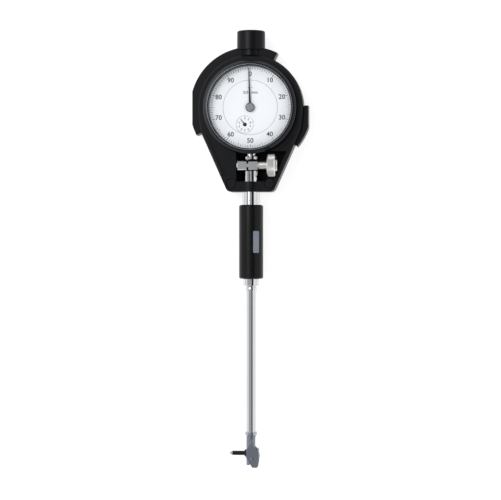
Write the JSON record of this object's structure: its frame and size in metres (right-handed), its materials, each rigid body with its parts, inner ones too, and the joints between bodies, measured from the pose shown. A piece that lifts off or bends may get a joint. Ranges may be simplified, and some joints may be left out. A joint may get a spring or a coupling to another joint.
{
  "type": "dial bore gauge",
  "caption": "Two-point bore gauge: a dial indicator in a protective cover, on a long tube with a grip and a measuring head with anvil, contact and centring shoe.",
  "frame": {"origin": "centre of the rear cover's flat back face, under the dial's centre", "axes": "+Z the way the dial faces, +Y along the stem towards the top cap, +X to the dial's right"},
  "size_m": [0.0716, 0.2693, 0.0243],
  "materials": {
    "black_shell": "moulded satin black",
    "black_rubber": "moulded grip",
    "chrome": "polished plate",
    "satin_nickel": "satin",
    "steel": "ground",
    "dark_steel": "hardened, grey",
    "brass": "turned",
    "white_dial": "matt white enamel",
    "black_metal": "black",
    "glass": "clear",
    "die_cast": "painted casting"
  },
  "bodies": {
    "frame": {"rear_cover": "black_shell", "front_cover": "black_shell", "cover_screws": "dark_steel", "top_cap": "black_shell", "holder_tube": "chrome", "grip": "black_rubber", "grip_label_plate": "satin_nickel", "grip_ferrule": "chrome", "stem_tube": "chrome", "stem_ring": "chrome", "rod_bushes": "brass", "head_body": "dark_steel", "anvil": "dark_steel", "anvil_lock_nut": "dark_steel", "lever_pin": "steel", "guide_pin": "steel", "guide_springs": "steel", "indicator_case": "die_cast", "case_back": "die_cast", "back_screws": "steel", "indicator_stem": "steel", "spindle_cap": "steel", "movement_plate": "brass", "plate_pillars": "brass", "bridge_posts": "brass", "movement_bridge": "brass", "hairspring": "steel", "dial_centre": "white_dial", "bezel_wire": "steel"},
    "contact": {"contact_point": "steel"},
    "lever": {"cam_lever": "steel"},
    "rod": {"push_rod": "steel"},
    "spindle_set": {"spindle": "steel", "spindle_pin": "steel", "spindle_tip": "steel"},
    "rack_arbor": {"rack_gear": "brass", "small_pointer": "black_metal"},
    "centre_arbor": {"centre_pinion": "steel", "main_pointer": "black_metal"},
    "take_up": {"take_up_gear": "brass"},
    "shoe": {"guide": "dark_steel"},
    "bezel_set": {"bezel": "black_metal", "dial_ring": "white_dial", "crystal": "glass"},
    "clamp_screw": {"thumb_screw": "satin_nickel"}
  },
  "joints": [
    {"name": "pointer_turn", "type": "hinge", "parent": "frame", "child": "centre_arbor", "pos_m": [0, 0, 0.013], "axis": [0, 0, -1], "range_deg": [0, 432]},
    {"name": "spindle_slide", "type": "slide", "parent": "frame", "child": "spindle_set", "axis": [0, 1, 0], "range_m": [0, 0.0012]},
    {"name": "rod_slide", "type": "slide", "parent": "frame", "child": "rod", "axis": [0, 1, 0], "range_m": [0, 0.0012], "stiffness_N_per_m": 300, "springref_m": -0.005},
    {"name": "contact_slide", "type": "slide", "parent": "frame", "child": "contact", "axis": [-1, 0, 0], "range_m": [0, 0.0012]},
    {"name": "lever_swing", "type": "hinge", "parent": "frame", "child": "lever", "pos_m": [0.0009, -0.21146, 0.01], "axis": [0, 0, -1], "range_deg": [0, 45.84]},
    {"name": "rack_gear_turn", "type": "hinge", "parent": "frame", "child": "rack_arbor", "pos_m": [-0.0033, -0.01049, 0.013], "axis": [0, 0, 1], "range_deg": [0, 43.2]},
    {"name": "take_up_turn", "type": "hinge", "parent": "frame", "child": "take_up", "pos_m": [0.00884, 0.00655, 0.013], "axis": [0, 0, 1], "range_deg": [0, 43.2]},
    {"name": "guide_slide", "type": "slide", "parent": "frame", "child": "shoe", "axis": [-1, 0, 0], "range_m": [0, 0.0012], "stiffness_N_per_m": 200, "springref_m": -0.003},
    {"name": "bezel_turn", "type": "hinge", "parent": "frame", "child": "bezel_set", "pos_m": [0, 0, 0.018], "axis": [0, 0, 1], "continuous": true},
    {"name": "clamp_screw_turn", "type": "hinge", "parent": "frame", "child": "clamp_screw", "pos_m": [0.013, -0.0355, 0.0172], "axis": [1, 0, 0], "range_deg": [0, 360]}
  ],
  "couplings": [
    {"joint": "spindle_slide", "follows": "rod_slide", "ratio": 1},
    {"joint": "contact_slide", "follows": "rod_slide", "ratio": 1},
    {"joint": "lever_swing", "follows": "rod_slide", "rad_per_m": 666.67},
    {"joint": "rack_gear_turn", "follows": "rod_slide", "rad_per_m": 628.32},
    {"joint": "take_up_turn", "follows": "rod_slide", "rad_per_m": 628.32},
    {"joint": "pointer_turn", "follows": "rod_slide", "rad_per_m": 6283.2}
  ]
}
